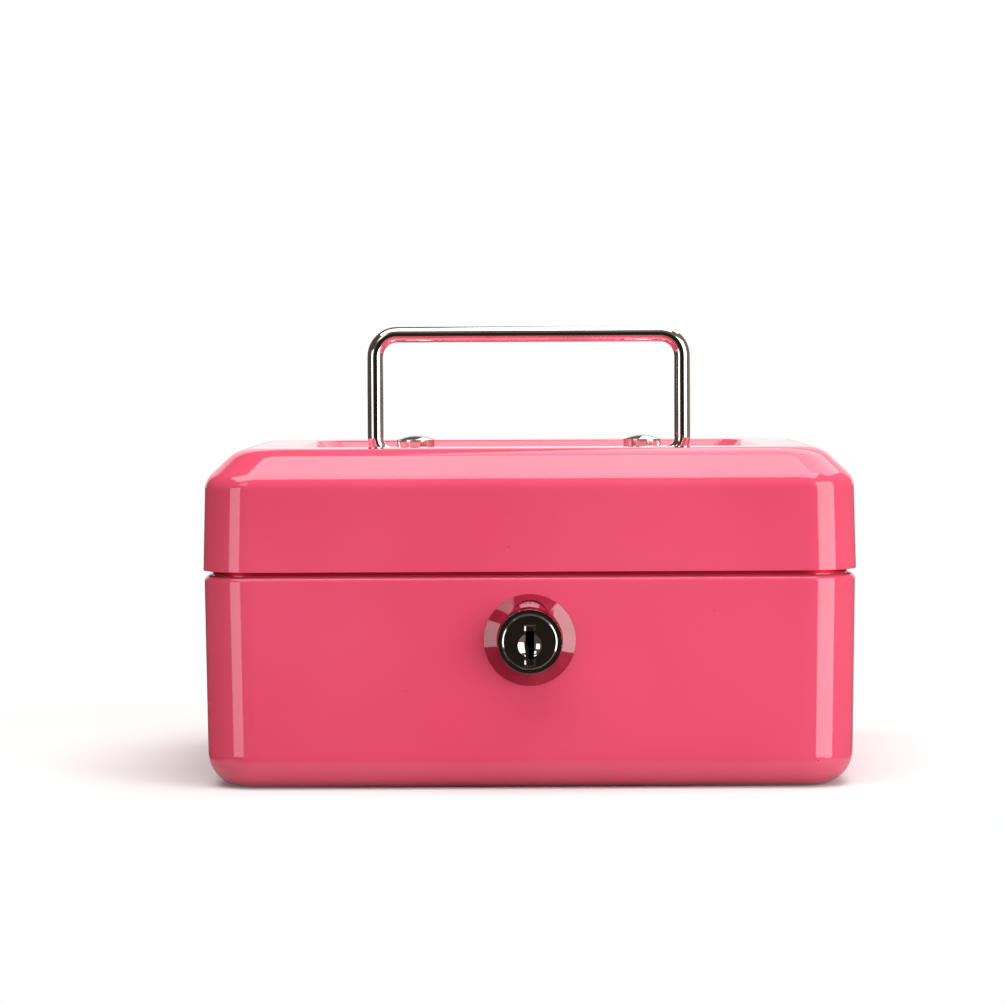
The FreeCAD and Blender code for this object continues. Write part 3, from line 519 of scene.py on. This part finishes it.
# turned plug with a dimple, a stamped notch at each end of the keyway and a ward inside it
def makePlug():
    radius, face = lockHigh.x, lockFace
    edgeWide, edgeDeep = lock["plugEdge"]
    half = lock["square"] / 2
    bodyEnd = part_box("lock_barrel")[1].y
    piece = addLathe("lockPlug", [
        (0, face), (radius - edgeWide, face), (radius, face + edgeDeep), (radius, face + lock["faceDepth"]),
        (lock["plugBody"], face + lock["faceDepth"]), (lock["plugBody"], bodyEnd), (0, bodyEnd)][::-1])
    combine(piece, "UNION", addBlock(
        "square", (-half, half), (bodyEnd - half, lockHigh.y), (lockZ - half, lockZ + half)))
    wide, tall = lock["keyway"]
    middle = lockZ - lock["keywayDrop"]
    ball = (lock["dimpleRadius"] ** 2 + lock["dimpleDepth"] ** 2) / (2 * lock["dimpleDepth"])
    ballY = face + lock["dimpleDepth"] - ball
    turns = [math.pi * step / lock["dimpleSteps"] for step in range(lock["dimpleSteps"] + 1)]
    rounds = [(ball * math.sin(turn), ballY + ball * math.cos(turn)) for turn in turns]
    rounds[0], rounds[-1] = (0, ballY + ball), (0, ballY - ball)
    combine(piece, "DIFFERENCE", addLathe("dimple", rounds, middle, lock["dimpleTurns"]))
    for end, side in (("crown", 1), ("foot", -1)):
        stampWide, stampTall, overlap = lock[end]
        z = middle + side * (tall / 2 + stampTall / 2 - overlap)
        combine(piece, "DIFFERENCE", addBlock(
            "stamp", (-stampWide / 2, stampWide / 2), (face - lock["edge"], face + lock["stampDepth"]),
            (z - stampTall / 2, z + stampTall / 2), lock["stampSlope"]))
    combine(piece, "DIFFERENCE", addBlock(
        "slot", (-wide / 2, wide / 2), (face - lock["overcut"], face + lock["keywayDepth"]),
        (middle - tall / 2, middle + tall / 2)))
    wardWide, wardTall, wardY = lock["ward"]
    combine(piece, "UNION", addBlock(
        "ward", (-wide / 2 - lock["edge"], wardWide - wide / 2), (face + wardY, face + lock["keywayDepth"]),
        (middle - tall / 2 - lock["edge"], middle - tall / 2 + wardTall)))
    piece.data.set_sharp_from_angle(angle=math.radians(lock["sharp"]))
    dress(piece, "lock_plug")
    paintPiece(piece, makeMaterial("plugNickel", nickel, plugLook))


makeRing()
makeBarrel()
makePlug()
print("lock: ring, barrel and plug")

# handle posts: domed, riveted through the lid and drilled across for the wire
post = {
    "turns": 96, "edge": 0.00012, "radius": 0.00475, "height": 0.00595, "dome": 0.00115, "stand": 0.0071,
    "shank": 0.0024, "rivet": 0.0034, "rivetHeight": 0.001, "rivetDome": 0.0005,
    "drill": 0.00203, "drillRise": 0.0023, "drillHalf": 0.04, "drillTurns": 64,
}


# arc of a dome from its top on the axis out to its rim
def domed(radius, dome, top, steps=10):
    ball = (radius ** 2 + dome ** 2) / (2 * dome)
    reach = math.asin(radius / ball)
    turns = [reach * step / steps for step in range(steps + 1)]
    return [(ball * math.sin(turn), top - ball * (1 - math.cos(turn))) for turn in turns]


def makePost(name, node):
    low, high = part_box(node)
    floor = high.z - post["stand"]
    rivetTop = low.z + post["rivetHeight"]
    crown = domed(post["radius"], post["dome"], floor + post["height"] + post["dome"])
    rivet = [(radius, low.z - drop) for radius, drop in domed(post["rivet"], post["rivetDome"], 0)]
    neck = [(post["radius"], floor), (post["shank"], floor)]
    neck += [(post["shank"], rivetTop), (post["rivet"], rivetTop)]
    piece = addLathe(name, crown + neck + rivet[::-1], 0, post["turns"])
    upright = Matrix.Rotation(math.pi / 2, 4, "X")
    piece.data.transform(Matrix.Translation(((low.x + high.x) / 2, 0, 0)) @ upright)
    reach = post["drillHalf"]
    drill = addBar("drill", post["drill"], reach, -reach, floor + post["drillRise"], post["drillTurns"])
    drill.data.transform(Matrix.Rotation(math.pi / 2, 4, "Z"))
    combine(piece, "DIFFERENCE", drill)
    breakEdges(piece, post["edge"])
    dress(piece, node)


makePost("leftHandlePost", "left_handle_post")
makePost("rightHandlePost", "right_handle_post")
print("handle posts: 2")

# cut and moulded pieces whose sharp edges are broken, with how far
edged = {"lockCam": ("lock_cam", 0.00015), "coinTray": ("coin_tray", 0.0003)}
joinUp = {"weld": 1e-6, "flatDegrees": 0.3}   # how close corners are welded, how flat faces are joined


def makeEdged(name, node, width):
    mesh = nodes[node].data.copy()
    work = bmesh.new()
    work.from_mesh(mesh)
    bmesh.ops.remove_doubles(work, verts=work.verts, dist=joinUp["weld"])
    flat = math.radians(joinUp["flatDegrees"])
    bmesh.ops.dissolve_limit(work, angle_limit=flat, verts=work.verts, edges=work.edges)
    work.to_mesh(mesh)
    work.free()
    piece = addPiece(name, mesh)
    breakEdges(piece, width)
    dress(piece, node)


for name, (node, width) in edged.items():
    makeEdged(name, node, width)
print("edges broken:", len(edged), "pieces")

# small pale floor that takes the shadow and turns to plain white at its edge
floorLook = {
    "pale": (0.86, 0.86, 0.86, 1.0), "dim": (0.55, 0.55, 0.55, 1.0), "white": (1.0, 1.0, 1.0, 1.0),
    "halfWidth": 0.23, "halfDepth": 0.17, "setback": 0.03, "fadeStart": 0.45,
    "clearAhead": (-0.105, -0.092), "clearBeside": (0.085, 0.1),
}


def makeFloor():
    mesh = bpy.data.meshes.new("floor")
    right, back = floorLook["halfWidth"], floorLook["halfDepth"]
    outline = [(-right, -back, 0), (right, -back, 0), (right, back, 0), (-right, back, 0)]
    mesh.from_pydata(outline, [], [(0, 1, 2, 3)])
    floor = bpy.data.objects.new("floor", mesh)
    floor.location.y = floorLook["setback"]
    scene.collection.objects.link(floor)
    material = bpy.data.materials.new("paleFloor")
    material.use_nodes = True
    material.node_tree.nodes.clear()
    start = Wire(material.node_tree)
    place = start.node("TexCoord", {}, {}, "Object")
    share = place.node("VectorMath", {"operation": "MULTIPLY"}, {0: place, 1: (1 / right, 1 / back, 0)})
    away = share.node("VectorMath", {"operation": "LENGTH"}, {0: share}, "Value")
    rays = start.node("LightPath", {}, {}, "Is Camera Ray")
    shown = rays + rays.part("Is Glossy Ray") + rays.part("Is Transmission Ray")
    colour = rays.mixTo(floorLook["dim"], floorLook["pale"])
    lit = start.node("BsdfDiffuse", {}, {"Color": colour})
    white = start.node("Emission", {}, {"Color": floorLook["white"], "Strength": 1.0})
    fade = away.ramp(floorLook["fadeStart"], 1.0) * shown
    surface = start.node("MixShader", {}, {0: fade, 1: lit, 2: white})
    # the enamel mirrors the room, not the floor before and beside it
    axes = place.node("SeparateXYZ", {}, {0: place})
    mirrored = axes.part("Y").ramp(*floorLook["clearAhead"])
    mirrored = mirrored * (1 - axes.part("X").size().ramp(*floorLook["clearBeside"]))
    clear = start.node("BsdfTransparent", {}, {})
    unseen = (1 - mirrored) * rays.part("Is Glossy Ray")
    surface = start.node("MixShader", {}, {0: unseen, 1: surface, 2: clear})
    start.node("OutputMaterial", {}, {"Surface": surface})
    mesh.materials.append(material)


makeFloor()

# room: white backdrop behind the object, dim walls elsewhere, dark around the viewer;
# the pairs are where each part starts and ends along a direction's x, y or z
room = {
    "left": (0.10, 0.073, 0.062, 1.0), "right": (0.24, 0.19, 0.16, 1.0), "leftToRight": (-0.6, 0.6),
    "white": (1.0, 1.0, 1.0, 1.0), "backdropSide": (0.44, 0.6), "backdropAhead": (0.0, 0.1),
    "backdropFoot": (-0.01, 0.01), "backdropTop": (0.42, 0.57),
    "dark": (0.021, 0.016, 0.0125, 1.0), "darkBehind": (0.9, 0.97),
    "besideFrom": (0.14, 0.2), "besideTo": (0.5, 0.6),
    "besideHeight": (0.3, 0.4), "besideBehind": (0.5, 0.6),
}


def makeWorld():
    world = bpy.data.worlds.new("studio")
    world.use_nodes = True
    scene.world = world
    world.node_tree.nodes.clear()
    start = Wire(world.node_tree)
    toward = start.node("TexCoord", {}, {}, "Generated")
    axes = toward.node("SeparateXYZ", {}, {0: toward})
    across, ahead, height = axes.part("X"), axes.part("Y"), axes.part("Z")
    behind = 0 - ahead
    backdrop = (1 - across.size().ramp(*room["backdropSide"])) * ahead.ramp(*room["backdropAhead"])
    backdrop = backdrop * height.ramp(*room["backdropFoot"]) * (1 - height.ramp(*room["backdropTop"]))
    walls = across.ramp(*room["leftToRight"]).mixTo(room["left"], room["right"])
    walls = behind.ramp(*room["darkBehind"]).mixTo(walls, room["dark"])
    # dark also beside the viewer, as far as the right lamp
    beside = across.ramp(*room["besideFrom"]) * (1 - across.ramp(*room["besideTo"]))
    beside = beside * (1 - height.size().ramp(*room["besideHeight"])) * behind.ramp(*room["besideBehind"])
    walls = beside.mixTo(walls, room["dark"])
    rays = start.node("LightPath", {}, {}, "Is Camera Ray")
    shown = rays + (rays.part("Is Glossy Ray") + rays.part("Is Transmission Ray")) * backdrop
    light = start.node("Background", {}, {"Color": shown.mixTo(walls, room["white"]), "Strength": 1.0})
    start.node("OutputWorld", {}, {"Surface": light})


makeWorld()

# soft boxes; level is the brightness seen straight on, and the front one is kept out of the gloss
lamps = {
    "top": {
        "at": (-0.10, -0.2225, 0.85), "aim": (-0.10, -0.1825, 0.0), "size": (1.04, 0.625), "level": 3.85},
    "right": {
        "at": (0.58, -0.50, 0.15), "aim": (0.0, -0.03, 0.05), "size": (0.52, 0.72), "level": 3.85},
    "left": {
        "at": (-0.58, -0.59, 0.062), "aim": (0.0, -0.03, 0.05), "size": (0.32, 0.37), "level": 2.35},
    "fill": {
        "at": (-0.35, -0.59, 0.49), "aim": (0.0, -0.06, 0.035), "size": (0.22, 0.22), "level": 1.6},
    "front": {
        "at": (0.0, -0.75, 0.75), "aim": (0.0, -0.06, 0.04), "size": (0.4, 0.4), "level": 1.7,
        "mirrored": False},
    "rear": {
        "at": (0.36, 0.62, 0.85), "aim": (0.3656, 0.6596, 0.0), "size": (0.7, 1.1), "level": 2.2},
}


def makeLamp(name, look):
    lamp = bpy.data.lights.new(name + "Softbox", "AREA")
    lamp.shape = "RECTANGLE"
    lamp.size, lamp.size_y = look["size"]
    lamp.energy = look["level"] * math.pi * lamp.size * lamp.size_y
    holder = bpy.data.objects.new(lamp.name, lamp)
    scene.collection.objects.link(holder)
    holder.location = look["at"]
    holder.visible_glossy = look.get("mirrored", True)
    aim = Vector(look["aim"]) - holder.location
    holder.rotation_euler = aim.to_track_quat("-Z", "Y").to_euler()


for name, look in lamps.items():
    makeLamp(name, look)
print("floor, room and", len(lamps), "lamps set")

# viewpoint of the photograph: place in metres, lens and sensor in millimetres, turns in degrees
view = {
    "at": (0.0, -0.859, 0.0984), "lens": 124.6, "sensor": 36.0,
    "pitch": 2.28, "yaw": 0.44, "roll": 0.28,
}


def makeCamera():
    lens = bpy.data.cameras.new("camera")
    lens.sensor_fit = "HORIZONTAL"
    lens.sensor_width = view["sensor"]
    lens.lens = view["lens"]
    camera = bpy.data.objects.new("camera", lens)
    scene.collection.objects.link(camera)
    turn = Matrix.Rotation(math.radians(view["yaw"]), 4, "Z")
    tilt = Matrix.Rotation(math.radians(90 - view["pitch"]), 4, "X")
    roll = Matrix.Rotation(math.radians(-view["roll"]), 4, "Z")
    camera.matrix_world = Matrix.Translation(view["at"]) @ turn @ tilt @ roll
    scene.camera = camera


makeCamera()
scene.view_settings.view_transform = "Standard"
print("camera set")
